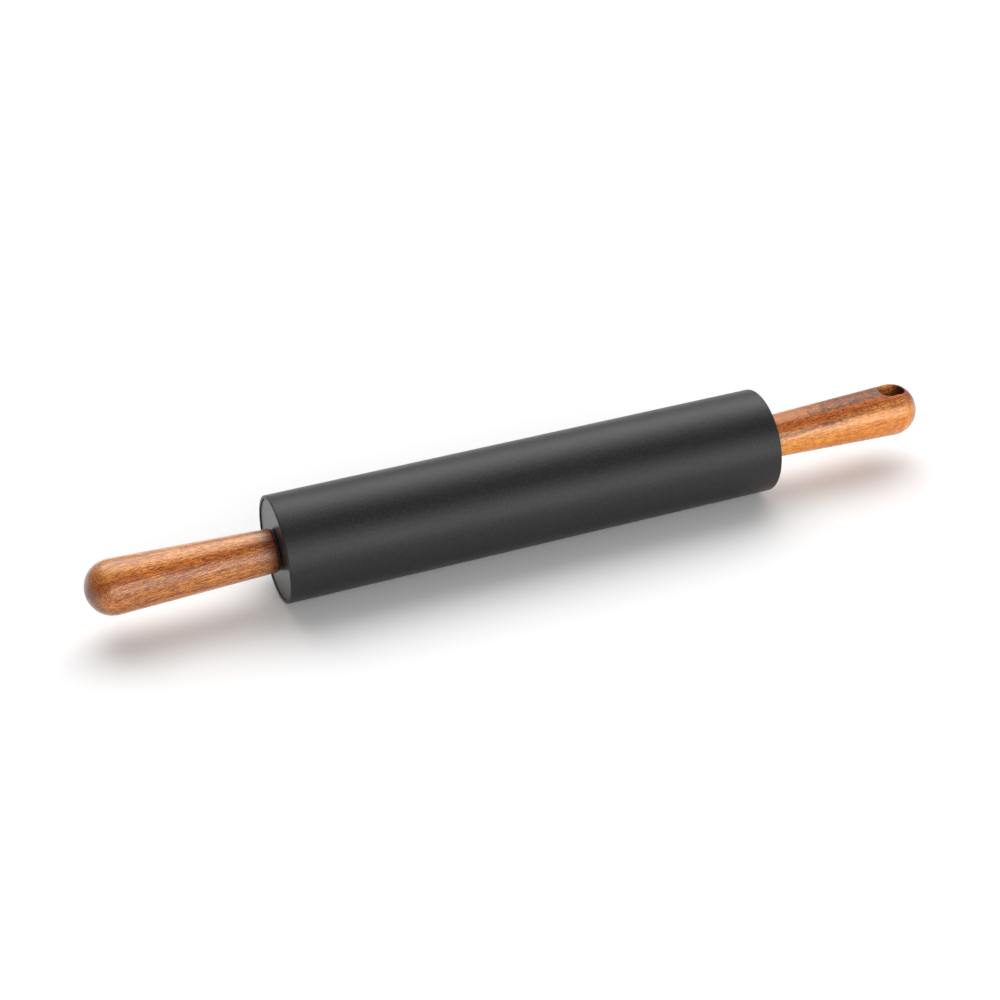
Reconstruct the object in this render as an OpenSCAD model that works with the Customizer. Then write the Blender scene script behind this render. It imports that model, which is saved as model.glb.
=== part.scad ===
// Rolling pin with handles. A silicone sleeved roller turns on two sealed ball bearings
// round a steel axle, and a turned wooden handle is screwed on each end of the axle.
// X runs along the axle, towards the handle with the hanging slot. The roller rests on the
// plane Z = 0, and the origin lies there, under the middle of the roller.

/* [Roller] */
// Length of the roller over its sleeve
roller_len = 292; // [200:1:400]
// Outer diameter of the sleeve
roller_d = 60; // [52:0.5:80]
// Thickness of the silicone sleeve
sleeve_wall = 2; // [1.6:0.1:4]
// Rounding of the sleeve's outer edge at each end
sleeve_edge_r = 0.8; // [0.2:0.1:1]
// Rounding of the sleeve's inner edge at each end
sleeve_lip_r = 0.3; // [0.1:0.1:0.5]
// Thickness of the core tube's wall
core_wall = 2; // [1:0.1:4]

/* [End caps] */
// Depth of each end disc inside the sleeve's end
cap_recess = 0.6; // [0.2:0.1:3]
// Thickness of the disc
cap_disc_t = 3; // [2:0.1:6]
// Chamfer round the disc, which leaves a fine groove against the sleeve
cap_edge = 0.4; // [0.1:0.1:1]
// Length of the ring that plugs into the core tube
cap_plug_len = 14; // [8:0.5:40]
// Wall of that ring
cap_plug_wall = 2.4; // [1.6:0.1:4]
// Wall of the hub round the bearing
cap_hub_wall = 3; // [1.6:0.1:4]
// Thickness of the shoulder that the bearing stops against
cap_shoulder_t = 2; // [1:0.1:4]
// Width of that shoulder, from the bearing's outside inwards
cap_shoulder_w = 1.6; // [0.8:0.1:2]
// Number of ribs between hub and ring
cap_rib_count = 6; // [3:1:12]
// Thickness of a rib
cap_rib_t = 2; // [1:0.1:4]
// Height of a rib behind the disc
cap_rib_h = 6; // [3:0.5:9]

/* [Bearings] */
// Outside diameter of the bearing
bearing_od = 22; // [20:0.5:28]
// Bore of the bearing, which also sets the axle
bearing_bore = 8; // [6:0.5:9]
// Width of the bearing
bearing_w = 7; // [6.9:0.1:9]
// Depth of the bearing inside the disc's face
bearing_sink = 0.4; // [0:0.1:1]
// Diameter of a ball
ball_d = 3.97; // [3.6:0.01:4.1]
// Number of balls
ball_count = 7; // [5:1:8]
// Space between the rims of the two races
race_space = 2.9; // [2.6:0.1:3.2]
// How far the cage's fingers reach past the balls' middle
cage_reach = 0.9; // [0.5:0.1:1.2]
// Thickness of a seal
seal_t = 0.4; // [0.3:0.05:0.5]
// Depth of a seal inside the race's end
seal_sink = 0.1; // [0:0.05:0.2]
// Depth of the step in the outer race that holds a seal
seal_step = 0.5; // [0.3:0.1:0.7]

/* [Axle] */
// Length of thread at each end, inside the handle
thread_len = 20; // [10:0.5:40]
// Pitch of the thread
thread_pitch = 1.25; // [0.75:0.25:2]
// Depth of the thread
thread_depth = 0.6; // [0.3:0.05:0.8]
// Chamfer on each end of the axle
axle_chamfer = 0.8; // [0.2:0.1:1.5]
// Thickness of a retaining ring
ring_t = 0.8; // [0.6:0.1:1.5]
// Width of a retaining ring, from its bore outwards
ring_w = 1.9; // [1.2:0.1:2.2]
// Depth of the groove that holds it
ring_groove = 0.4; // [0.2:0.05:0.8]
// Opening of a retaining ring
ring_mouth = 3; // [2:0.1:4]
// Thickness of the washer between bearing and handle
washer_t = 1.6; // [1.2:0.1:4]
// Thickness of the washer's rim, which shields the bearing
washer_rim_t = 0.7; // [0.4:0.1:1]
// How far that rim reaches past the bearing's outside
washer_rim_w = 0.4; // [0:0.1:1]

/* [Handles] */
// Length of a handle
handle_len = 102.8; // [80:0.1:160]
// Diameter of a handle beside the roller
neck_d = 24.3; // [21:0.1:32]
// Diameter of a handle where its round end starts
grip_d = 30.5; // [26:0.1:40]
// Length of the round end
grip_end_len = 15.8; // [8:0.1:20]
// Rounding of the handle's edge beside the roller
neck_edge_r = 1.5; // [0.5:0.1:2.5]
// Length of the threaded insert
insert_len = 24; // [14:0.5:40]
// Wall of the insert
insert_wall = 1.8; // [1:0.1:2.5]
// Height of the insert's barbs
barb_h = 0.5; // [0.2:0.1:0.8]
// Number of barbs
barb_count = 5; // [2:1:8]
// Width of the insert's flange, outside its wall
insert_flange_w = 2; // [1:0.1:2.5]
// Thickness of the insert's flange
insert_flange_t = 1.5; // [0.8:0.1:3]

/* [Hanging slot] */
// Length of the slot
slot_len = 16.2; // [13.5:0.1:30]
// Width of the slot
slot_w = 11; // [5:0.1:13]
// Wood left between the slot and the handle's tip
slot_inset = 7.9; // [4:0.1:20]

/* [Fits] */
// Gap all round a piece that is pushed or screwed into another
fit_gap = 0.05; // [0.02:0.01:0.1]
// Gap between the balls and their raceways
ball_gap = 0.05; // [0.03:0.01:0.08]
// Gap between the balls and the cage's pockets
pocket_gap = 0.12; // [0.08:0.01:0.15]
// Gap between the cage and what turns beside it
cage_gap = 0.3; // [0.2:0.05:0.35]
// Gap between a seal and the inner race
seal_gap = 0.15; // [0.1:0.05:0.3]
// Space left at the bottom of the handle's bore
bore_end_gap = 1.5; // [0.5:0.5:4]

/* [Hidden] */
$fn = 96;

// Steps in a rounded corner, and in a handle's round end
corner_steps = 6;
end_steps = 18;
// Extra length of a cutting shape past the face that it cuts
overrun = 1;
// Share of a barb's pitch that its cone fills
barb_share = 0.8;
// Radius of a retaining ring's ear, as a share of the ring's width
ear_share = 0.6;
// Share of the thread's pitch that its groove is wide
groove_share = 0.8;

// Radii, from the outside inwards
roller_r = roller_d / 2;
sleeve_in_r = roller_r - sleeve_wall;
core_r = sleeve_in_r - fit_gap;
core_in_r = core_r - core_wall;
plug_r = core_in_r - fit_gap;
plug_in_r = plug_r - cap_plug_wall;
bearing_r = bearing_od / 2;
seat_r = bearing_r + fit_gap;
hub_r = seat_r + cap_hub_wall;
axle_r = bearing_bore / 2 - fit_gap;
pitch_r = (bearing_od + bearing_bore) / 4;
inner_rim_r = pitch_r - race_space / 2;
outer_rim_r = pitch_r + race_space / 2;
raceway_r = ball_d / 2 + ball_gap;
seal_r = outer_rim_r + seal_step;
ring_in_r = axle_r - ring_groove + fit_gap;
ring_r = ring_in_r + ring_w;
insert_in_r = axle_r + fit_gap;
insert_r = insert_in_r + insert_wall;
insert_flange_r = insert_r + insert_flange_w;
handle_bore_r = insert_r + barb_h + fit_gap;

// Places along X, from the middle outwards
end_x = roller_len / 2;
cap_face_x = end_x - cap_recess;
cap_back_x = cap_face_x - cap_disc_t;
bearing_out_x = cap_face_x - bearing_sink;
bearing_mid_x = bearing_out_x - bearing_w / 2;
bearing_in_x = bearing_out_x - bearing_w;
hub_back_x = bearing_in_x - cap_shoulder_t;
handle_x = bearing_out_x + washer_t;
axle_end_x = handle_x + thread_len;
slot_mid_x = handle_x + handle_len - slot_inset - slot_len / 2;

// Places along a bearing, from its middle outwards
seal_out_z = bearing_w / 2 - seal_sink;
seal_in_z = seal_out_z - seal_t;
cage_back_z = seal_in_z - cage_gap;

// Places along a handle, from its face beside the roller outwards
taper_len = handle_len - grip_end_len;
taper = (grip_d - neck_d) / 2 / taper_len;
bore_depth = max(insert_len, thread_len) + bore_end_gap;

silicone = [0.17, 0.17, 0.175];
alloy = [0.72, 0.73, 0.75];
grey_cap = [0.52, 0.52, 0.53];
steel = [0.62, 0.63, 0.65];
dark_steel = [0.3, 0.3, 0.32];
nylon = [0.87, 0.85, 0.8];
seal_black = [0.08, 0.08, 0.08];
acetal_black = [0.1, 0.1, 0.1];
brass = [0.78, 0.62, 0.32];
wood = [0.62, 0.36, 0.17];

// A quarter round of radius r about [x, y], from angle a to a + 90, as points
function corner(x, y, r, a) = [
    for (i = [0 : corner_steps])
        [x + r * cos(a + 90 * i / corner_steps), y + r * sin(a + 90 * i / corner_steps)]
];

// Radius of a handle's taper at distance z from the face beside the roller
function taper_r(z) = neck_d / 2 + taper * z;

// Turns a shape that stands on Z so that it lies on the pin's axis and starts at x
module on_axis(x = 0) {
    translate([x, 0, roller_r]) rotate([0, 90, 0]) children();
}

// The left end is the right end, mirrored
module left_end() {
    mirror([1, 0, 0]) children();
}

// A ring with its near end at z
module ring(z, len, r, in_r) {
    translate([0, 0, z]) difference() {
        cylinder(h = len, r = r);
        translate([0, 0, -overrun]) cylinder(h = len + 2 * overrun, r = in_r);
    }
}

module silicone_sleeve() {
    edge_x = end_x - sleeve_edge_r;
    lip_x = end_x - sleeve_lip_r;
    edge_at = roller_r - sleeve_edge_r;
    lip_at = sleeve_in_r + sleeve_lip_r;
    color(silicone) on_axis() rotate_extrude() polygon(concat(
        corner(edge_at, edge_x, sleeve_edge_r, 0),
        corner(lip_at, lip_x, sleeve_lip_r, 90),
        corner(lip_at, -lip_x, sleeve_lip_r, 180),
        corner(edge_at, -edge_x, sleeve_edge_r, 270)
    ));
}

module core_tube() {
    color(alloy) on_axis() ring(-cap_back_x, 2 * cap_back_x, core_r, core_in_r);
}

// The disc with its chamfered rim, the ring that plugs into the core, the hub and the ribs
module end_cap() {
    color(grey_cap) on_axis() difference() {
        union() {
            translate([0, 0, cap_back_x]) cylinder(h = cap_disc_t - cap_edge, r = core_r);
            translate([0, 0, cap_face_x - cap_edge])
                cylinder(h = cap_edge, r1 = core_r, r2 = core_r - cap_edge);
            ring(cap_back_x - cap_plug_len, cap_plug_len, plug_r, plug_in_r);
            translate([0, 0, hub_back_x]) cylinder(h = cap_back_x - hub_back_x, r = hub_r);
            cap_ribs();
        }
        translate([0, 0, bearing_in_x]) cylinder(h = bearing_w + bearing_sink + overrun, r = seat_r);
        translate([0, 0, hub_back_x - overrun])
            cylinder(h = cap_shoulder_t + 2 * overrun, r = bearing_r - cap_shoulder_w);
    }
}

// Ribs from the hub to the middle of the plugging ring's wall
module cap_ribs() {
    for (i = [0 : cap_rib_count - 1])
        rotate([0, 0, 360 * i / cap_rib_count])
            translate([seat_r, -cap_rib_t / 2, cap_back_x - cap_rib_h])
                cube([plug_r - cap_plug_wall / 2 - seat_r, cap_rib_t, cap_rib_h]);
}

// The round groove that the balls run in, as a solid ring to cut from a race
module raceway() {
    rotate_extrude() translate([pitch_r, 0]) circle(r = raceway_r);
}

module bearing_outer_race() {
    step_depth = seal_sink + seal_t;
    color(steel) on_axis(bearing_mid_x) difference() {
        ring(-bearing_w / 2, bearing_w, bearing_r, outer_rim_r);
        for (side = [0, 1])
            mirror([0, 0, side]) translate([0, 0, bearing_w / 2 - step_depth])
                cylinder(h = step_depth + overrun, r = seal_r);
        raceway();
    }
}

module bearing_inner_race() {
    color(steel) on_axis(bearing_mid_x) difference() {
        ring(-bearing_w / 2, bearing_w, inner_rim_r, bearing_bore / 2);
        raceway();
    }
}

module at_balls() {
    for (i = [0 : ball_count - 1])
        rotate([0, 0, 360 * i / ball_count]) translate([pitch_r, 0, 0]) children();
}

module bearing_balls() {
    color(steel) on_axis(bearing_mid_x) at_balls() sphere(d = ball_d);
}

// A crown cage: a ring behind the balls, with fingers that reach between them
module bearing_cage() {
    color(nylon) on_axis(bearing_mid_x) mirror([0, 0, 1]) difference() {
        ring(-cage_reach, cage_reach + cage_back_z, outer_rim_r - cage_gap, inner_rim_r + cage_gap);
        at_balls() sphere(r = ball_d / 2 + pocket_gap);
    }
}

module bearing_seal() {
    color(seal_black) ring(seal_in_z, seal_t, seal_r - fit_gap, inner_rim_r + seal_gap);
}

module bearing_seal_outer() {
    on_axis(bearing_mid_x) bearing_seal();
}

module bearing_seal_inner() {
    on_axis(bearing_mid_x) mirror([0, 0, 1]) bearing_seal();
}

// One V groove round the axle, as a solid ring to cut away
module thread_groove() {
    half = thread_pitch * groove_share / 2;
    rotate_extrude() polygon([
        [axle_r - thread_depth, 0], [axle_r + thread_depth, 2 * half],
        [axle_r + thread_depth, -2 * half]
    ]);
}

module axle_end() {
    groove_count = floor((thread_len - axle_chamfer) / thread_pitch) - 1;
    difference() {
        union() {
            cylinder(h = axle_end_x - axle_chamfer, r = axle_r);
            translate([0, 0, axle_end_x - axle_chamfer])
                cylinder(h = axle_chamfer, r1 = axle_r, r2 = axle_r - axle_chamfer);
        }
        ring(bearing_in_x - ring_t - fit_gap, ring_t + 2 * fit_gap, axle_r + overrun,
            axle_r - ring_groove);
        for (i = [1 : groove_count])
            translate([0, 0, handle_x + i * thread_pitch]) thread_groove();
    }
}

module axle_rod() {
    color(steel) on_axis() {
        axle_end();
        mirror([0, 0, 1]) axle_end();
    }
}

// An open ring with an ear each side of its mouth
module retaining_ring() {
    ear_r = ring_w * ear_share;
    ear_y = ring_mouth / 2 + ear_r;
    color(dark_steel) on_axis(bearing_in_x - ring_t) difference() {
        union() {
            cylinder(h = ring_t, r = ring_r);
            for (side = [-1, 1])
                translate([ring_r - ear_r / 2, side * ear_y, 0]) cylinder(h = ring_t, r = ear_r);
        }
        translate([0, 0, -overrun]) cylinder(h = ring_t + 2 * overrun, r = ring_in_r);
        translate([0, -ring_mouth / 2, -overrun])
            cube([2 * ring_r, ring_mouth, ring_t + 2 * overrun]);
    }
}

// A boss that stands on the inner race, with a thin rim beside the handle
module spacer_washer() {
    color(acetal_black) on_axis(bearing_out_x) difference() {
        union() {
            cylinder(h = washer_t, r = inner_rim_r - seal_gap);
            translate([0, 0, washer_t - washer_rim_t])
                cylinder(h = washer_rim_t, r = bearing_r + washer_rim_w);
        }
        translate([0, 0, -overrun]) cylinder(h = washer_t + 2 * overrun, r = axle_r + fit_gap);
    }
}

module threaded_insert() {
    barb_pitch = (insert_len - insert_flange_t) / barb_count;
    color(brass) on_axis(handle_x) difference() {
        union() {
            cylinder(h = insert_len, r = insert_r);
            cylinder(h = insert_flange_t, r = insert_flange_r);
            for (i = [0 : barb_count - 1])
                translate([0, 0, insert_flange_t + i * barb_pitch])
                    cylinder(h = barb_pitch * barb_share, r1 = insert_r + barb_h, r2 = insert_r);
        }
        translate([0, 0, -overrun]) cylinder(h = insert_len + 2 * overrun, r = insert_in_r);
    }
}

// A turned handle on Z: a rounded neck edge, a taper that widens outwards, and a round end
// whose radius is the taper's, drawn in along an ellipse
module turned_handle() {
    neck_r = taper_r(neck_edge_r) - neck_edge_r;
    difference() {
        rotate_extrude() polygon(concat(
            [[0, 0]],
            corner(neck_r, neck_edge_r, neck_edge_r, 270),
            [
                for (i = [0 : end_steps])
                    let (a = 90 * i / end_steps, z = taper_len + grip_end_len * sin(a))
                        [i == end_steps ? 0 : taper_r(z) * cos(a), z]
            ]
        ));
        translate([0, 0, -overrun]) cylinder(h = bore_depth + overrun, r = handle_bore_r);
        translate([0, 0, bore_depth]) cylinder(h = handle_bore_r / 2, r1 = handle_bore_r, r2 = 0);
        translate([0, 0, -overrun])
            cylinder(h = insert_flange_t + overrun, r = insert_flange_r + fit_gap);
    }
}

// The slot's outline: a rectangle with round ends
module slot_outline() {
    straight = slot_len - slot_w;
    square([straight, slot_w], center = true);
    for (side = [-1, 1]) translate([side * straight / 2, 0]) circle(d = slot_w);
}

module handle_left() {
    color(wood) left_end() on_axis(handle_x) turned_handle();
}

module handle_right() {
    color(wood) difference() {
        on_axis(handle_x) turned_handle();
        translate([slot_mid_x, 0, 0]) linear_extrude(roller_d) slot_outline();
    }
}

silicone_sleeve();
core_tube();
left_end() end_cap();  // end_cap_left
end_cap();  // end_cap_right
axle_rod();
left_end() bearing_outer_race();  // bearing_outer_race_left
bearing_outer_race();  // bearing_outer_race_right
left_end() bearing_inner_race();  // bearing_inner_race_left
bearing_inner_race();  // bearing_inner_race_right
left_end() bearing_balls();  // bearing_balls_left
bearing_balls();  // bearing_balls_right
left_end() bearing_cage();  // bearing_cage_left
bearing_cage();  // bearing_cage_right
left_end() bearing_seal_inner();  // bearing_seal_inner_left
bearing_seal_inner();  // bearing_seal_inner_right
left_end() bearing_seal_outer();  // bearing_seal_outer_left
bearing_seal_outer();  // bearing_seal_outer_right
left_end() retaining_ring();  // retaining_ring_left
retaining_ring();  // retaining_ring_right
left_end() spacer_washer();  // spacer_washer_left
spacer_washer();  // spacer_washer_right
left_end() threaded_insert();  // threaded_insert_left
threaded_insert();  // threaded_insert_right
handle_left();
handle_right();
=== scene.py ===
"""Looks of the handled rolling pin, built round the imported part."""
import math
from collections import namedtuple

import bmesh
import bpy
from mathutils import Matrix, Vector


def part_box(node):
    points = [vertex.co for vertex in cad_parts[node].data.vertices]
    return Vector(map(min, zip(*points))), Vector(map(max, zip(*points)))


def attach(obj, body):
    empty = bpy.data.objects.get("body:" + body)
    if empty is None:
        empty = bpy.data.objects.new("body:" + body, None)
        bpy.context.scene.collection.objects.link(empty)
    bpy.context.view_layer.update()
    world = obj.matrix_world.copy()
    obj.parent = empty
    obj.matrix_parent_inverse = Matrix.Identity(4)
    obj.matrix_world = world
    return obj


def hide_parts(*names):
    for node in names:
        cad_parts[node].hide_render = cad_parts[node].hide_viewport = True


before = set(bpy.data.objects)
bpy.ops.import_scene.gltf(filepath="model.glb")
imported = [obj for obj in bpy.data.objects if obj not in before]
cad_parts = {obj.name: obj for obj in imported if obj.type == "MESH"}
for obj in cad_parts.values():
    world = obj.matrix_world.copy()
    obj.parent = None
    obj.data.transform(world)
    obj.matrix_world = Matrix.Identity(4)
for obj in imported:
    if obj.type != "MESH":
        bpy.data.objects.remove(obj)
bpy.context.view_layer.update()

# Sizes, in metres, read from the frame where it has them

MM = 0.001
SLEEVE_LOW, SLEEVE_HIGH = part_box("silicone_sleeve")
AXIS_Z = (SLEEVE_LOW.z + SLEEVE_HIGH.z) / 2
ROLLER_R = (SLEEVE_HIGH.z - SLEEVE_LOW.z) / 2
ROLLER_END = SLEEVE_HIGH.x
SLEEVE_WALL = 2.0 * MM
SLEEVE_EDGE = 0.8 * MM
SLEEVE_LIP = 0.3 * MM

HANDLE_LOW, HANDLE_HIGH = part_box("handle_right")
HANDLE_START = HANDLE_LOW.x
HANDLE_TIP = HANDLE_HIGH.x
NECK_R = 12.15 * MM
NECK_EDGE = 1.5 * MM
GRIP_R = 15.25 * MM
GRIP_END = 15.8 * MM
TAPER_LENGTH = HANDLE_TIP - HANDLE_START - GRIP_END
BORE_R = 6.35 * MM
BORE_DEPTH = 25.5 * MM
BORE_CONE = BORE_R / 2
FLANGE_R = 7.85 * MM
FLANGE_DEPTH = 1.5 * MM

SLOT_LENGTH = 16.2 * MM
SLOT_WIDTH = 11.0 * MM
SLOT_INSET = 7.9 * MM
SLOT_EDGE = 0.9 * MM
SLOT_MIDDLE = HANDLE_TIP - SLOT_INSET - SLOT_LENGTH / 2

# Mesh resolution, and the patch of a handle's surface that carries the slot

ROUND_STEPS = 192
CORNER_STEPS = 8
SLEEVE_STEPS = 60
TAPER_STEPS = 40
END_STEPS = 16
WALL_STEPS = 10
PATCH_STEPS = 24
PATCH_HALF = 16
PATCH_RINGS = 6
PATCH_MARGIN = 3.0 * MM
PATCH_START = SLOT_MIDDLE - SLOT_LENGTH / 2 - PATCH_MARGIN
PATCH_END = SLOT_MIDDLE + SLOT_LENGTH / 2 + PATCH_MARGIN
SHARP_ANGLE = math.radians(35)

# The photograph's camera

CAMERA_AT = (-0.353425, -0.855736, 0.680273)
CAMERA_PITCH = 35.293
CAMERA_YAW = 21.556
CAMERA_LENS = 72.620

# Studio light by the angle round the pin's axis: 0 is the front horizon, 90 overhead and 180
# the back horizon. One soft box stands low in front, and one high behind. To the left and
# right they fade, over a span of the direction's X, to the level of that side, which is higher
# low down. Just above the horizon all is white. The heights are spans of the direction's Z. The
# scale keeps the colours in the nodes under 1.

LIGHT_SCALE = 4.0
LIGHT_STOPS = (
    (0, 3.9), (10, 3.6), (20, 2.8), (30, 2.5), (40, 1.3), (52, 0.3), (64, 0.25), (76, 0.3),
    (88, 0.6), (100, 1.9), (112, 2.9), (124, 3.9), (136, 3.7), (148, 2.2), (160, 0.45),
    (170, 0.28), (180, 0.2),
)
SIDE_LIGHTS = ((-0.1, -0.6, 0.12), (0.6, 0.95, 0.4))
SIDE_LOW_LIGHT = 0.6
SIDE_HEIGHTS = (0.08, 0.25)
HORIZON_HEIGHTS = (0.03, 0.09)

FLOOR_REACH = 8.0
FLOOR_LIT = 0.6
FLOOR_SEEN = 0.95
FLOOR_ROUGHNESS = 0.9

# The wood's patterns: size along the fibres and across them, detail and roughness. The shares
# say how much each moves the tone, and how far it sways the borders between the layers.

GRAIN_PATTERNS = {
    "band": (80 * MM, 4.5 * MM, 2.0, 0.5),
    "fibre": (26 * MM, 0.9 * MM, 3.0, 0.6),
    "streak": (8 * MM, 0.55 * MM, 2.0, 0.6),
    "fleck": (3.2 * MM, 0.34 * MM, 3.0, 0.8),
    "grit": (0.55 * MM, 0.55 * MM, 2.0, 0.7),
    "pore": (2.8 * MM, 0.36 * MM, 1.0, 0.5),
    "line": (46 * MM, 0.75 * MM, 1.0, 0.5),
    "cross": (2.6 * MM, 16 * MM, 2.0, 0.5),
}
TONE_SHARES = {"band": 0.45, "fibre": 0.35, "streak": 0.7, "fleck": 1.6, "grit": 0.7}
SWAY_SHARES = {"band": 6 * MM, "fibre": 5 * MM}
GRAIN_TURN = (0, 2.5, -2.0)

# Dark, middle and light tones of each kind of wood, and where they stand in the tone

TONE_STOPS = (0.28, 0.5, 0.72)
ORANGE_WOOD = ((0.18, 0.04, 0.006), (0.5, 0.143, 0.02), (0.8, 0.33, 0.065))
TAN_WOOD = ((0.26, 0.07, 0.01), (0.6, 0.19, 0.028), (0.86, 0.38, 0.085))
RUST_WOOD = ((0.11, 0.018, 0.002), (0.42, 0.09, 0.007), (0.64, 0.19, 0.02))
BROWN_WOOD = ((0.1, 0.03, 0.011), (0.165, 0.047, 0.017), (0.56, 0.195, 0.055))
PALE_WOOD = ((0.58, 0.15, 0.006), (0.82, 0.26, 0.012), (0.95, 0.46, 0.07))
AMBER_WOOD = ((0.5, 0.12, 0.004), (0.77, 0.205, 0.004), (0.93, 0.38, 0.04))
# Tones of the slot's walls, painted lighter for the light that falls into the slot
SLOT_WALL_PAINTED_LIGHT_WOOD = ((0.19, 0.054, 0.013), (0.56, 0.175, 0.04), (0.8, 0.34, 0.11))

# The layers lie on planes along a handle. A plane faces the angle, from the front up. Its start
# is how far it lies from the pin's axis at the roller's middle, and the slope moves it out with
# X. A layer takes over from the one before at the depth past the plane that its own start says.
# Gloss is the weight of its oil, and pores says how dark its pores are.

Plane = namedtuple("Plane", "angle start slope")
Layer = namedtuple("Layer", "start tones gloss pores")
Timber = namedtuple("Timber", "name seed plane layers ripple fade oil_ior")

LAYER_BORDER = 1.4 * MM
LEFT_TIMBER = Timber(
    name="wood_left",
    seed=(0.31, -0.012, 0.021),
    plane=Plane(math.radians(-40), -8.0 * MM, -0.042),
    layers=(
        Layer(0, TAN_WOOD, 1.0, 0.6),
        Layer(-2.2 * MM, RUST_WOOD, 0.8, 1.0),
        Layer(2.2 * MM, ORANGE_WOOD, 0.94, 0.8),
    ),
    ripple=0.08,
    fade=0.0,
    oil_ior=1.5,
)
RIGHT_TIMBER = Timber(
    name="wood_right",
    seed=(0.12, 0.018, -0.028),
    plane=Plane(math.radians(-40), 13.5 * MM, -0.05),
    layers=(
        Layer(0, BROWN_WOOD, 0.18, 0.35),
        Layer(-9.5 * MM, RUST_WOOD, 0.2, 0.9),
        Layer(-2.5 * MM, ORANGE_WOOD, 0.9, 1.0),
        Layer(0.5 * MM, PALE_WOOD, 0.95, 0.35),
        Layer(6.0 * MM, AMBER_WOOD, 0.7, 0.35),
    ),
    ripple=0.4,
    fade=0.34,
    oil_ior=1.62,
)

# The first layer is lighter at the neck, and this fades over a span from the handle's start. The
# wood is darker towards the tip, and a painted shade darkens the neck, where the roller's end
# shades it. The slot's walls are painted lighter for the light that falls in, and their end grain
# is darker with oil and with painted shade.

FADE_SPAN = (10 * MM, 48 * MM)
DARK_END_REACH = 12 * MM
# The neck's painted shade, the tip's darkening, and the tint that both use
NECK_PAINTED_SHADE = 1.0
TIP_DARKENING = 0.8
NECK_SHADE_AND_TIP_TINT = (0.36, 0.25, 0.17)
HOLLOW_TINT = (0.22, 0.11, 0.08)
# Darkens the end grain at the slot's round ends, with oil and with painted shade
END_GRAIN_AND_SHADE_TINT = (0.28, 0.24, 0.3)
SLOT_WALL_SPAN = (0.2 * MM, 0.6 * MM)
END_GRAIN_SPAN = (0.5 * MM, 5.0 * MM)

# Pores and dark lines: the span of their pattern over which they open, and how far

PORE_SPAN = (0.56, 0.64)
PORE_SHARE = 0.85
LINE_SPAN = (0.6, 0.68)
LINE_SHARE = 0.8

WOOD_ROUGHNESS = 0.42
WOOD_SPECULAR = 0.2
OIL_ROUGHNESS = 0.25
WOOD_RELIEF = 0.08 * MM
WOOD_RELIEF_SHARE = 0.6

# The silicone and the end discs. Over a span of their noise they go from dark to pale.

SILICONE_IOR = 1.41
SILICONE_ROUGHNESS = 0.38
SILICONE_ROUGHNESS_SPAN = (0.35, 0.41)
SILICONE_SPECK = 0.9 * MM
SILICONE_SPECK_SPAN = (0.36, 0.64)
SILICONE_PATCH = (30 * MM, 18 * MM, 18 * MM)
SILICONE_UNEVEN_SPAN = (0.7, 1.3)
SILICONE_DARK = (0.001, 0.001, 0.001)
SILICONE_MEAN = (0.007, 0.007, 0.0071)
SILICONE_PALE = (0.0155, 0.0155, 0.0157)
SILICONE_RELIEF = 0.12 * MM

MARK_SPAN = (0.3, 0.7)
CAP_IOR = 1.36
CAP_ROUGHNESS = 0.3
CAP_ROUGHNESS_SPAN = (0.27, 0.33)
CAP_GRAIN = 0.8 * MM
CAP_DARK = (0.006, 0.006, 0.0062)
CAP_MEAN = (0.022, 0.022, 0.0225)
CAP_PALE = (0.04, 0.04, 0.041)
CAP_RELIEF = 0.02 * MM

# The inner parts: colour, roughness, and size of the marks along X, Y and Z. A moulding also has
# the depth of its marks.

METALS = {
    "bearing_steel_ground": ((0.62, 0.62, 0.64), 0.16, (0.15 * MM, 3 * MM, 3 * MM)),
    "ring_spring_steel": ((0.16, 0.15, 0.15), 0.42, (0.3 * MM, 0.3 * MM, 0.3 * MM)),
    "insert_brass": ((0.7, 0.5, 0.2), 0.3, (0.12 * MM, 4 * MM, 4 * MM)),
    "core_alloy": ((0.66, 0.67, 0.69), 0.34, (40 * MM, 0.3 * MM, 0.3 * MM)),
    "axle_steel": ((0.55, 0.55, 0.56), 0.26, (20 * MM, 0.2 * MM, 0.2 * MM)),
}
METAL_RELIEF = 0.004 * MM
METAL_UNEVEN = (-0.06, 0.08)
MOULDINGS = {
    "seal_black_rubber": ((0.02, 0.02, 0.02), 0.55, (0.3 * MM,) * 3, 0.02 * MM),
    "cage_nylon": ((0.72, 0.7, 0.62), 0.45, (0.6 * MM,) * 3, 0.02 * MM),
    "washer_black_acetal": ((0.006, 0.006, 0.006), 0.7, (0.4 * MM,) * 3, 0.004 * MM),
}
MOULDING_UNEVEN = (-0.05, 0.07)
MOULDING_TONES = (0.85, 1.12)
PAIRED_NODES = {
    "end_cap": "cap_grey_plastic",
    "bearing_outer_race": "bearing_steel_ground",
    "bearing_inner_race": "bearing_steel_ground",
    "bearing_balls": "bearing_steel_ground",
    "bearing_cage": "cage_nylon",
    "bearing_seal_inner": "seal_black_rubber",
    "bearing_seal_outer": "seal_black_rubber",
    "retaining_ring": "ring_spring_steel",
    "spacer_washer": "washer_black_acetal",
    "threaded_insert": "insert_brass",
}
SINGLE_NODES = {"core_tube": "core_alloy", "axle_rod": "axle_steel"}


# Meshes


def new_object(name, shell, material):
    mesh = bpy.data.meshes.new(name)
    mesh.from_pydata(shell.vertices, [], shell.faces)
    mesh.validate()
    work = bmesh.new()
    work.from_mesh(mesh)
    bmesh.ops.recalc_face_normals(work, faces=work.faces)
    work.to_mesh(mesh)
    work.free()
    mesh.shade_smooth()
    mesh.set_sharp_from_angle(angle=SHARP_ANGLE)
    mesh.materials.append(material)
    piece = bpy.data.objects.new(name, mesh)
    bpy.context.scene.collection.objects.link(piece)
    return piece


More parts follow.
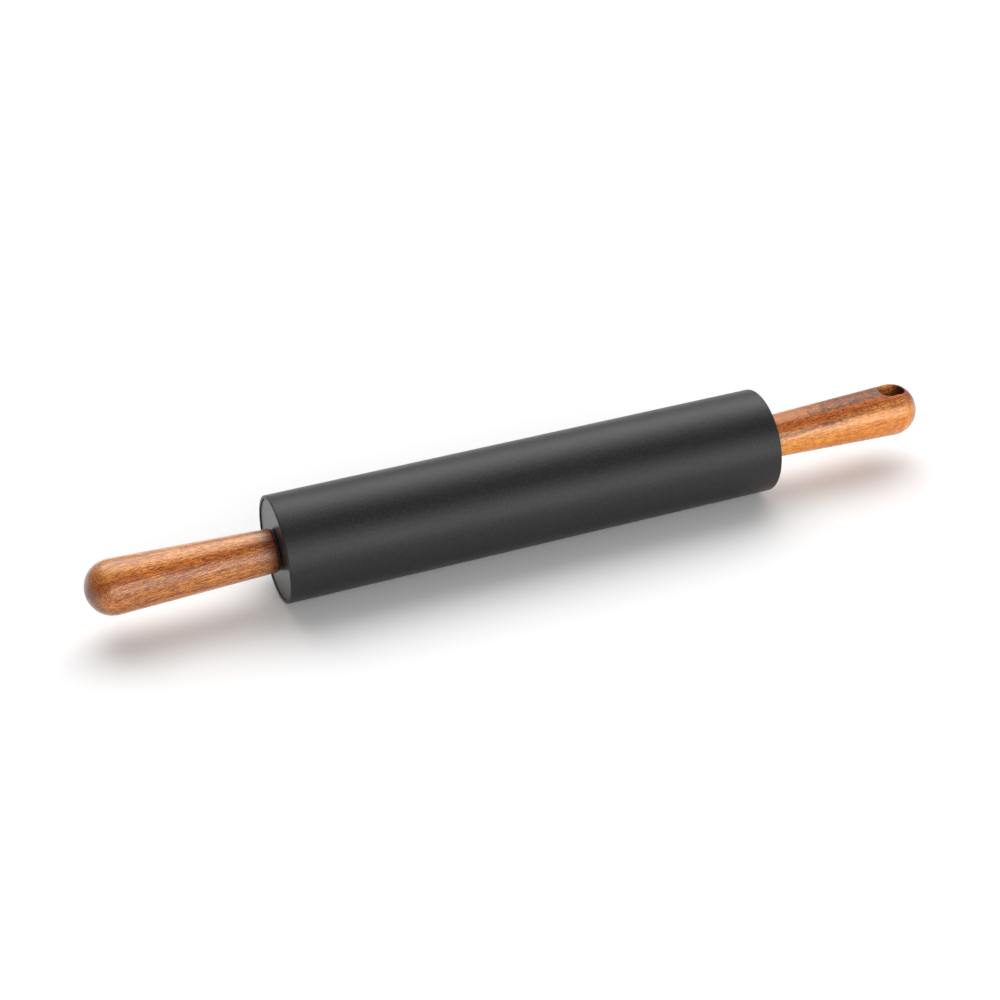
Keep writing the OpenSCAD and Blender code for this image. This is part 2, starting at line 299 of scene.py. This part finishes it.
def quarter(x, r, size, start):
    """A rounded corner about (x, r), turning a quarter from the angle start, in degrees."""
    turns = [math.radians(start + 90 * i / CORNER_STEPS) for i in range(CORNER_STEPS + 1)]
    return [(x + size * math.cos(t), r + size * math.sin(t)) for t in turns]


def spaced(low, high, count):
    return [low + (high - low) * i / count for i in range(count + 1)]


def on_axis(x, r, turn):
    """The point at radius r round the pin's axis. A turn of zero is straight up."""
    return (x, -r * math.sin(turn), AXIS_Z + r * math.cos(turn))


class Shell:
    """Vertices and faces of one mesh. A side of -1 mirrors it to the pin's left end."""

    def __init__(self, side=1):
        self.side = side
        self.vertices = []
        self.faces = []

    def point(self, place):
        x, y, z = place
        self.vertices.append((self.side * x, y, z))
        return len(self.vertices) - 1

    def ring(self, x, r):
        """A closed ring of points round the pin's axis, or one point where r is zero."""
        if r == 0:
            return [self.point(on_axis(x, 0, 0))]
        turns = [math.tau * i / ROUND_STEPS for i in range(ROUND_STEPS)]
        return [self.point(on_axis(x, r, turn)) for turn in turns]

    def bridge(self, one, two, left_open=()):
        """Faces between two closed rows of points of equal length, or a row and one point."""
        count = max(len(one), len(two))
        for i in range(count):
            j = (i + 1) % count
            if i in left_open:
                continue
            if len(one) == 1:
                self.faces.append((one[0], two[j], two[i]))
            elif len(two) == 1:
                self.faces.append((one[i], one[j], two[0]))
            else:
                self.faces.append((one[i], one[j], two[j], two[i]))

    def bridge_all(self, rows):
        for one, two in zip(rows, rows[1:]):
            self.bridge(one, two)

    def lathe(self, outline, closed=False, left_open=()):
        """Rings along an outline of (x, r). Faces in left_open are left out on the slot's patch."""
        rings = [self.ring(x, r) for x, r in outline]
        for (x_one, _), (x_two, _), one, two in zip(outline, outline[1:], rings, rings[1:]):
            middle = (x_one + x_two) / 2
            is_patch = PATCH_START < middle < PATCH_END
            self.bridge(one, two, left_open if is_patch else ())
        if closed:
            self.bridge(rings[-1], rings[0])
        return rings


def make_sleeve(material):
    edge_x = ROLLER_END - SLEEVE_EDGE
    lip_x = ROLLER_END - SLEEVE_LIP
    edge_r = ROLLER_R - SLEEVE_EDGE
    lip_r = ROLLER_R - SLEEVE_WALL + SLEEVE_LIP
    outside = [(x, ROLLER_R) for x in spaced(-edge_x, edge_x, SLEEVE_STEPS)]
    shell = Shell()
    shell.lathe(
        quarter(-lip_x, lip_r, SLEEVE_LIP, 180)[::-1]
        + quarter(-edge_x, edge_r, SLEEVE_EDGE, 90)[:0:-1]
        + outside
        + quarter(edge_x, edge_r, SLEEVE_EDGE, 0)[-2::-1]
        + quarter(lip_x, lip_r, SLEEVE_LIP, 270)[::-1],
        closed=True,
    )
    return new_object("sleeve_skin", shell, material)


def handle_radius(x):
    along = x - HANDLE_START
    taper_r = NECK_R + (GRIP_R - NECK_R) * along / TAPER_LENGTH
    into_end = max(0, along - TAPER_LENGTH) / GRIP_END
    return taper_r * math.sqrt(max(0, 1 - into_end**2))


def bore_outline():
    """From the bottom of the bore to the handle's end face."""
    return [
        (HANDLE_START + BORE_DEPTH + BORE_CONE, 0),
        (HANDLE_START + BORE_DEPTH, BORE_R),
        (HANDLE_START + FLANGE_DEPTH, BORE_R),
        (HANDLE_START + FLANGE_DEPTH, FLANGE_R),
        (HANDLE_START, FLANGE_R),
    ]


def handle_outline():
    """The bore, then round the neck's edge and along the outside to the tip."""
    edge_x = HANDLE_START + NECK_EDGE
    edge_r = handle_radius(edge_x) - NECK_EDGE
    neck = quarter(edge_x, edge_r, NECK_EDGE, 90)[::-1]
    end_middle = HANDLE_START + TAPER_LENGTH
    start_angle = math.asin((PATCH_END - end_middle) / GRIP_END)
    angles = spaced(start_angle, math.pi / 2, END_STEPS)[1:-1]
    outside = (
        spaced(edge_x, PATCH_START, TAPER_STEPS)[1:-1]
        + spaced(PATCH_START, PATCH_END, PATCH_STEPS)
        + [end_middle + GRIP_END * math.sin(a) for a in angles]
    )
    tip = [(HANDLE_TIP, 0)]
    return bore_outline() + neck + [(x, handle_radius(x)) for x in outside] + tip


def surface_height(x, y):
    """Height of the handle's surface over its own axis."""
    return math.sqrt(handle_radius(x) ** 2 - y**2)


def slot_point(share):
    """The place on the slot's wall at a share of its outline, and the way out from it there.
    The outline starts at the middle of the side with the lowest y and runs towards the tip."""
    r = SLOT_WIDTH / 2
    straight = SLOT_LENGTH / 2 - r
    arc = math.pi * r
    run = share * (4 * straight + 2 * arc)
    if run < straight:
        return Vector((run, -r)), Vector((0, -1))
    if run < straight + arc:
        turn = (run - straight) / r - math.pi / 2
        out = Vector((math.cos(turn), math.sin(turn)))
        return Vector((straight, 0)) + r * out, out
    if run < 3 * straight + arc:
        return Vector((2 * straight + arc - run, r)), Vector((0, 1))
    if run < 3 * straight + 2 * arc:
        turn = (run - 3 * straight - arc) / r + math.pi / 2
        out = Vector((math.cos(turn), math.sin(turn)))
        return Vector((-straight, 0)) + r * out, out
    return Vector((run - 4 * straight - 2 * arc, -r)), Vector((0, -1))


def patch_border(rings, up):
    """The points round the opening that the lathe left, starting as the slot's outline does."""
    middle = PATCH_STEPS // 2
    first = 0 if up else ROUND_STEPS // 2
    turn = 1 if up else -1
    low = (first + turn * PATCH_HALF) % ROUND_STEPS
    high = (first - turn * PATCH_HALF) % ROUND_STEPS
    across = [(first + turn * i) % ROUND_STEPS for i in range(PATCH_HALF, -PATCH_HALF, -1)]
    back = [(first + turn * i) % ROUND_STEPS for i in range(-PATCH_HALF, PATCH_HALF)]
    border = [rings[i][low] for i in range(middle, PATCH_STEPS)]
    border += [rings[PATCH_STEPS][i] for i in across]
    border += [rings[i][high] for i in range(PATCH_STEPS, 0, -1)]
    border += [rings[0][i] for i in back]
    border += [rings[i][low] for i in range(middle)]
    return border


def shares_of(points):
    """How far along the closed line through the points each one lies, from 0 to 1."""
    lengths = [(b - a).length for a, b in zip(points, points[1:] + points[:1])]
    runs = [sum(lengths[:i]) for i in range(len(lengths))]
    return [run / sum(lengths) for run in runs]


def slot_rings(shell, border, up):
    """Closes the opening down to the slot's wall, and returns the wall's first row of points."""
    sign = 1 if up else -1
    starts = [Vector(shell.vertices[i][:2]) for i in border]
    middle = Vector((SLOT_MIDDLE, 0))
    walls = [slot_point(share) for share in shares_of(starts)]
    ends = [middle + wall + SLOT_EDGE * out for wall, out in walls]

    def row(places, drop=0):
        heights = [AXIS_Z + sign * (surface_height(p.x, p.y) - drop) for p in places]
        return [shell.point((p.x, p.y, h)) for p, h in zip(places, heights)]

    rows = [border]
    for i in range(1, PATCH_RINGS + 1):
        share = i / PATCH_RINGS
        rows.append(row([start.lerp(end, share) for start, end in zip(starts, ends)]))
    for i in range(1, CORNER_STEPS + 1):
        turn = math.pi / 2 * i / CORNER_STEPS
        aside = SLOT_EDGE * (1 - math.sin(turn))
        drop = SLOT_EDGE * (1 - math.cos(turn))
        rows.append(row([middle + wall + aside * out for wall, out in walls], drop))
    shell.bridge_all(rows)
    return rows[-1]


def add_slot(shell, rings):
    top = slot_rings(shell, patch_border(rings, up=True), up=True)
    bottom = slot_rings(shell, patch_border(rings, up=False), up=False)
    ends = [(Vector(shell.vertices[a]), Vector(shell.vertices[b])) for a, b in zip(top, bottom)]
    rows = [top]
    for i in range(1, WALL_STEPS):
        share = i / WALL_STEPS
        rows.append([shell.point(a.lerp(b, share)) for a, b in ends])
    rows.append(bottom)
    shell.bridge_all(rows)


def make_handle(name, side, has_slot, material):
    half = ROUND_STEPS // 2
    window = range(-PATCH_HALF, PATCH_HALF)
    left_open = {i % ROUND_STEPS for i in window} | {i + half for i in window}
    outline = handle_outline()
    shell = Shell(side)
    rings = shell.lathe(outline, left_open=left_open if has_slot else ())
    if has_slot:
        first = [x for x, _ in outline].index(PATCH_START)
        add_slot(shell, rings[first:first + PATCH_STEPS + 1])
    return new_object(name, shell, material)


# Materials


class Nodes:
    """Adds nodes to a tree. Sizes of its patterns are in metres."""

    def __init__(self, tree):
        self.tree = tree

    def node(self, kind, **settings):
        node = self.tree.nodes.new(kind)
        for setting, value in settings.items():
            setattr(node, setting, value)
        return node

    def feed(self, socket, value):
        if isinstance(value, bpy.types.NodeSocket):
            self.tree.links.new(value, socket)
        else:
            socket.default_value = value

    def split(self, vector):
        node = self.node("ShaderNodeSeparateXYZ")
        self.feed(node.inputs[0], vector)
        return node.outputs

    def math(self, operation, *values):
        node = self.node("ShaderNodeMath", operation=operation)
        for socket, value in zip(node.inputs, values):
            self.feed(socket, value)
        return node.outputs[0]

    def spread(self, value, low, high, to_low, to_high, smooth=False):
        """Maps the span from low to high onto the one from to_low to to_high, and stops there."""
        kind = "SMOOTHSTEP" if smooth else "LINEAR"
        node = self.node("ShaderNodeMapRange", interpolation_type=kind, clamp=True)
        for socket, setting in zip(node.inputs, (value, low, high, to_low, to_high)):
            self.feed(socket, setting)
        return node.outputs[0]

    def moved(self, place, offset=(0, 0, 0), turn=(0, 0, 0), size=(1, 1, 1)):
        node = self.node("ShaderNodeMapping")
        self.feed(node.inputs["Vector"], place)
        node.inputs["Location"].default_value = offset
        node.inputs["Rotation"].default_value = [math.radians(angle) for angle in turn]
        node.inputs["Scale"].default_value = [1 / length for length in size]
        return node.outputs[0]

    def noise(self, size, detail, roughness=0.5, place=None):
        """Noise whose spots have about this size along X, Y and Z."""
        node = self.node("ShaderNodeTexNoise")
        self.feed(node.inputs["Vector"], self.moved(place or self.place, size=size))
        node.inputs["Scale"].default_value = 1.0
        node.inputs["Detail"].default_value = detail
        node.inputs["Roughness"].default_value = roughness
        return node.outputs["Fac"]

    def ramp(self, value, stops):
        node = self.node("ShaderNodeValToRGB")
        self.feed(node.inputs[0], value)
        elements = node.color_ramp.elements
        while len(elements) < len(stops):
            elements.new(1.0)
        for element, (position, color) in zip(elements, stops):
            element.position = position
            element.color = (*color, 1)
        return node.outputs["Color"]

    def mixed(self, share, one, two, blend="MIX"):
        node = self.node("ShaderNodeMix", data_type="RGBA", blend_type=blend)
        sockets = [socket for socket in node.inputs if socket.type == "RGBA"]
        self.feed(node.inputs[0], share)
        self.feed(sockets[0], one)
        self.feed(sockets[1], two)
        return next(socket for socket in node.outputs if socket.type == "RGBA")

    def tinted(self, share, color, tint):
        """The colour, multiplied by the tint as far as the share goes."""
        whole = self.mixed(1.0, color, (*tint, 1), blend="MULTIPLY")
        return self.mixed(share, color, whole)

    def seen(self):
        """One for what the camera, reflections and clear things show, and zero for light."""
        path = self.node("ShaderNodeLightPath").outputs
        seen = self.math("MAXIMUM", path["Is Camera Ray"], path["Is Glossy Ray"])
        return self.math("MAXIMUM", seen, path["Is Transmission Ray"])


class Shader(Nodes):
    """A material with one Principled shader."""

    def __init__(self, name, color, roughness, metallic=0.0, ior=1.5):
        self.material = bpy.data.materials.new(name)
        self.material.use_nodes = True
        super().__init__(self.material.node_tree)
        self.tree.nodes.clear()
        output = self.node("ShaderNodeOutputMaterial")
        self.surface = self.node("ShaderNodeBsdfPrincipled")
        self.to_surface("Base Color", (*color, 1))
        self.to_surface("Roughness", roughness)
        self.to_surface("Metallic", metallic)
        self.to_surface("IOR", ior)
        self.tree.links.new(self.surface.outputs[0], output.inputs["Surface"])
        self.place = self.node("ShaderNodeTexCoord").outputs["Object"]

    def to_surface(self, name, value):
        self.feed(self.surface.inputs[name], value)

    def bump(self, height, depth, strength):
        node = self.node("ShaderNodeBump")
        node.inputs["Strength"].default_value = strength
        node.inputs["Distance"].default_value = depth
        self.feed(node.inputs["Height"], height)
        self.to_surface("Normal", node.outputs["Normal"])


def silicone():
    shader = Shader("silicone_charcoal", SILICONE_MEAN, SILICONE_ROUGHNESS, ior=SILICONE_IOR)
    speck = shader.noise((SILICONE_SPECK,) * 3, detail=3.0, roughness=0.8)
    patch = shader.noise(SILICONE_PATCH, detail=2.0)
    stops = zip(SILICONE_SPECK_SPAN, (SILICONE_DARK, SILICONE_PALE))
    uneven = shader.math("ADD", speck, patch)
    roughness = shader.spread(uneven, *SILICONE_UNEVEN_SPAN, *SILICONE_ROUGHNESS_SPAN)
    shader.to_surface("Base Color", shader.ramp(speck, list(stops)))
    shader.to_surface("Roughness", roughness)
    shader.bump(speck, SILICONE_RELIEF, strength=1.0)
    return shader.material


def cap_plastic():
    shader = Shader("cap_grey_plastic", CAP_MEAN, CAP_ROUGHNESS, ior=CAP_IOR)
    grain = shader.noise((CAP_GRAIN,) * 3, detail=2.0, roughness=0.8)
    stops = zip(MARK_SPAN, (CAP_DARK, CAP_PALE))
    shader.to_surface("Base Color", shader.ramp(grain, list(stops)))
    shader.to_surface("Roughness", shader.spread(grain, *MARK_SPAN, *CAP_ROUGHNESS_SPAN))
    shader.bump(grain, CAP_RELIEF, strength=0.5)
    return shader.material


def metal(name, color, roughness, size):
    """Metal with fine marks of this size along X, Y and Z."""
    shader = Shader(name, color, roughness, metallic=1.0)
    marks = shader.noise(size, detail=3.0, roughness=0.6)
    low, high = (roughness + change for change in METAL_UNEVEN)
    shader.to_surface("Roughness", shader.spread(marks, *MARK_SPAN, low, high))
    shader.bump(marks, METAL_RELIEF, strength=0.4)
    return shader.material


def moulding(name, color, roughness, size, depth):
    """Plastic or rubber whose colour and gloss vary slightly in spots of this size."""
    shader = Shader(name, color, roughness)
    spots = shader.noise(size, detail=2.0, roughness=0.6)
    tones = [[tone * part for part in color] for tone in MOULDING_TONES]
    low, high = (roughness + change for change in MOULDING_UNEVEN)
    shader.to_surface("Base Color", shader.ramp(spots, list(zip(MARK_SPAN, tones))))
    shader.to_surface("Roughness", shader.spread(spots, *MARK_SPAN, low, high))
    shader.bump(spots, depth, strength=0.5)
    return shader.material


# Wood, with its fibres along X


def grain_patterns(shader, seed):
    grain = shader.moved(shader.place, offset=seed, turn=GRAIN_TURN)
    patterns = {}
    for name, (along, across, detail, roughness) in GRAIN_PATTERNS.items():
        patterns[name] = shader.noise((along, across, across), detail, roughness, grain)
    return patterns


def added(shader, patterns, shares, value):
    """Adds patterns to a value, each with its share. A pattern's middle adds nothing."""
    for name, share in shares.items():
        away = shader.math("SUBTRACT", patterns[name], 0.5)
        value = shader.math("MULTIPLY_ADD", away, share, value)
    return value


def toned(shader, tone, tones):
    return shader.ramp(tone, list(zip(TONE_STOPS, tones)))


def depth_from(shader, plane, sway):
    """How far a place lies beyond a plane along the handle, which sways by this length."""
    x, y, z = shader.split(shader.place)
    forward = shader.math("MULTIPLY", y, -math.cos(plane.angle))
    lift = math.sin(plane.angle)
    up = shader.math("MULTIPLY_ADD", z, lift, -AXIS_Z * lift)
    reach = shader.math("ADD", shader.math("ADD", forward, up), sway)
    return shader.math("SUBTRACT", reach, shader.math("MULTIPLY_ADD", x, plane.slope, plane.start))


def layered(shader, tone, lighter, depth, layers):
    """The colour, gloss and pores of all the layers. The first has its tone made lighter."""
    first, *others = layers
    color = toned(shader, shader.math("ADD", tone, lighter), first.tones)
    gloss, pores = first.gloss, first.pores
    for layer in others:
        low, high = layer.start - LAYER_BORDER, layer.start + LAYER_BORDER
        share = shader.spread(depth, low, high, 0.0, 1.0, smooth=True)
        color = shader.mixed(share, color, toned(shader, tone, layer.tones))
        gloss = shader.spread(share, 0.0, 1.0, gloss, layer.gloss)
        pores = shader.spread(share, 0.0, 1.0, pores, layer.pores)
    return color, gloss, pores


def with_painted_light_slot_walls(shader, tone, color):
    """The slot's walls, painted lighter for the light that falls into the slot, with end grain at
    its two round ends that is darker with oil and with painted shade.
    """
    x, y, _ = shader.split(shader.place)
    along = shader.math("ABSOLUTE", shader.math("SUBTRACT", x, SLOT_MIDDLE))
    past = shader.math("SUBTRACT", along, (SLOT_LENGTH - SLOT_WIDTH) / 2)
    past = shader.math("MAXIMUM", past, 0.0)
    aside = shader.math("MULTIPLY", y, y)
    reach = shader.math("SQRT", shader.math("MULTIPLY_ADD", past, past, aside))
    low, high = (SLOT_WIDTH / 2 + beyond for beyond in SLOT_WALL_SPAN)
    wall = shader.spread(reach, low, high, 1.0, 0.0, smooth=True)
    end_grain_and_shade = shader.spread(past, *END_GRAIN_SPAN, 0.0, 1.0, smooth=True)
    # Painted light on the slot's walls, and darker end grain with painted shade at their ends
    painted_light_slot_wall = shader.tinted(end_grain_and_shade, toned(shader, tone, SLOT_WALL_PAINTED_LIGHT_WOOD), END_GRAIN_AND_SHADE_TINT)
    return shader.mixed(wall, color, painted_light_slot_wall)


# Painted shade at the neck, where the roller's end shades it, and darker wood towards the tip
def neck_shade_and_dark_tip(shader, along):
    neck_end = HANDLE_START + DARK_END_REACH
    tip_start = HANDLE_TIP - DARK_END_REACH
    neck = shader.spread(along, HANDLE_START, neck_end, NECK_PAINTED_SHADE, 0.0, smooth=True)
    tip = shader.spread(along, tip_start, HANDLE_TIP, 0.0, TIP_DARKENING, smooth=True)
    return shader.math("MAXIMUM", neck, tip)


def wood(timber):
    """Oiled wood in layers. Its first layer gets lighter by the fade towards the roller."""
    shader = Shader(timber.name, timber.layers[0].tones[1], WOOD_ROUGHNESS)
    patterns = grain_patterns(shader, timber.seed)
    tone = added(shader, patterns, {**TONE_SHARES, "cross": timber.ripple}, 0.5)
    depth = depth_from(shader, timber.plane, added(shader, patterns, SWAY_SHARES, 0.0))
    along = shader.math("ABSOLUTE", shader.split(shader.place)[0])
    fade_start, fade_end = (HANDLE_START + reach for reach in FADE_SPAN)
    lighter = shader.spread(along, fade_start, fade_end, timber.fade, 0.0)
    color, gloss, pores = layered(shader, tone, lighter, depth, timber.layers)
    # Painted light on the slot's walls, and painted shade at their ends
    color = with_painted_light_slot_walls(shader, tone, color)
    pit = shader.spread(patterns["pore"], *PORE_SPAN, 0.0, PORE_SHARE, smooth=True)
    mark = shader.spread(patterns["line"], *LINE_SPAN, 0.0, LINE_SHARE, smooth=True)
    hollow = shader.math("MULTIPLY", shader.math("MAXIMUM", pit, mark), pores)
    color = shader.tinted(hollow, color, HOLLOW_TINT)
    # Painted shade at the neck, and darker wood towards the tip
    shader.to_surface("Base Color", shader.tinted(neck_shade_and_dark_tip(shader, along), color, NECK_SHADE_AND_TIP_TINT))
    shader.to_surface("Coat Weight", gloss)
    shader.to_surface("Coat Roughness", OIL_ROUGHNESS)
    shader.to_surface("Coat IOR", timber.oil_ior)
    shader.to_surface("Specular IOR Level", WOOD_SPECULAR)
    height = shader.math("SUBTRACT", patterns["fleck"], hollow)
    shader.bump(height, WOOD_RELIEF, WOOD_RELIEF_SHARE)
    return shader.material


# Pieces


def dress_node(node, material):
    """Gives a CAD node's object one material in all its slots."""
    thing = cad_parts[node]
    if not thing.material_slots:
        thing.data.materials.append(material)
    for slot in thing.material_slots:
        slot.material = material


def dress_inner_nodes():
    made = {name: metal(name, *finish) for name, finish in METALS.items()}
    made.update({name: moulding(name, *finish) for name, finish in MOULDINGS.items()})
    made["cap_grey_plastic"] = cap_plastic()
    for node, name in PAIRED_NODES.items():
        dress_node(node + "_left", made[name])
        dress_node(node + "_right", made[name])
    for node, name in SINGLE_NODES.items():
        dress_node(node, made[name])


def place_piece(piece, body, node):
    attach(piece, body)
    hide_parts(node)


def make_pieces():
    place_piece(make_sleeve(silicone()), "roller", "silicone_sleeve")
    left = make_handle("handle_left_wood", -1, False, wood(LEFT_TIMBER))
    place_piece(left, "handles", "handle_left")
    right = make_handle("handle_right_wood", 1, True, wood(RIGHT_TIMBER))
    place_piece(right, "handles", "handle_right")


# Studio


def set_camera():
    data = bpy.data.cameras.new("camera")
    data.lens = CAMERA_LENS
    camera = bpy.data.objects.new("camera", data)
    camera.location = CAMERA_AT
    camera.rotation_euler = (math.radians(90 - CAMERA_PITCH), 0, math.radians(-CAMERA_YAW))
    bpy.context.scene.collection.objects.link(camera)
    bpy.context.scene.camera = camera


def soft_boxes(light, y, z):
    turn = light.math("ARCTAN2", z, light.math("MULTIPLY", y, -1.0))
    stops = [(angle / 180, (radiance / LIGHT_SCALE,) * 3) for angle, radiance in LIGHT_STOPS]
    return light.ramp(light.math("DIVIDE", turn, math.pi), stops)


def with_sides(light, color, x, z):
    """Fades the light, to the left and to the right, to the plain light of that side."""
    for inner, outer, level in SIDE_LIGHTS:
        low, high = SIDE_LOW_LIGHT / LIGHT_SCALE, level / LIGHT_SCALE
        side = light.spread(z, *SIDE_HEIGHTS, low, high, smooth=True)
        color = light.mixed(light.spread(x, inner, outer, 0.0, 1.0, smooth=True), color, side)
    return color


def set_world():
    world = bpy.data.worlds.new("studio")
    world.use_nodes = True
    bpy.context.scene.world = world
    light = Nodes(world.node_tree)
    x, y, z = light.split(light.node("ShaderNodeTexCoord").outputs["Generated"])
    color = with_sides(light, soft_boxes(light, y, z), x, z)
    low = light.spread(z, *HORIZON_HEIGHTS, 1.0, 0.0, smooth=True)
    white = (1 / LIGHT_SCALE,) * 3 + (1,)
    background = world.node_tree.nodes["Background"]
    light.feed(background.inputs["Color"], light.mixed(low, color, white, blend="LIGHTEN"))
    light.feed(background.inputs["Strength"], LIGHT_SCALE)


def floor_material():
    """Pale for the light that it casts back, and plain white where it is seen."""
    shader = Shader("floor_white", (FLOOR_LIT,) * 3, FLOOR_ROUGHNESS)
    lit, seen = ((level, level, level, 1) for level in (FLOOR_LIT, FLOOR_SEEN))
    shader.to_surface("Specular IOR Level", 0.0)
    shader.to_surface("Base Color", shader.mixed(shader.seen(), lit, seen))
    return shader.material


def set_floor():
    far = FLOOR_REACH
    mesh = bpy.data.meshes.new("floor")
    corners = [(-far, -far, 0), (far, -far, 0), (far, far, 0), (-far, far, 0)]
    mesh.from_pydata(corners, [], [(0, 1, 2, 3)])
    mesh.materials.append(floor_material())
    floor = bpy.data.objects.new("floor", mesh)
    bpy.context.scene.collection.objects.link(floor)


def set_studio():
    bpy.context.scene.view_settings.view_transform = "Standard"
    set_camera()
    set_world()
    set_floor()


set_studio()
make_pieces()
dress_inner_nodes()
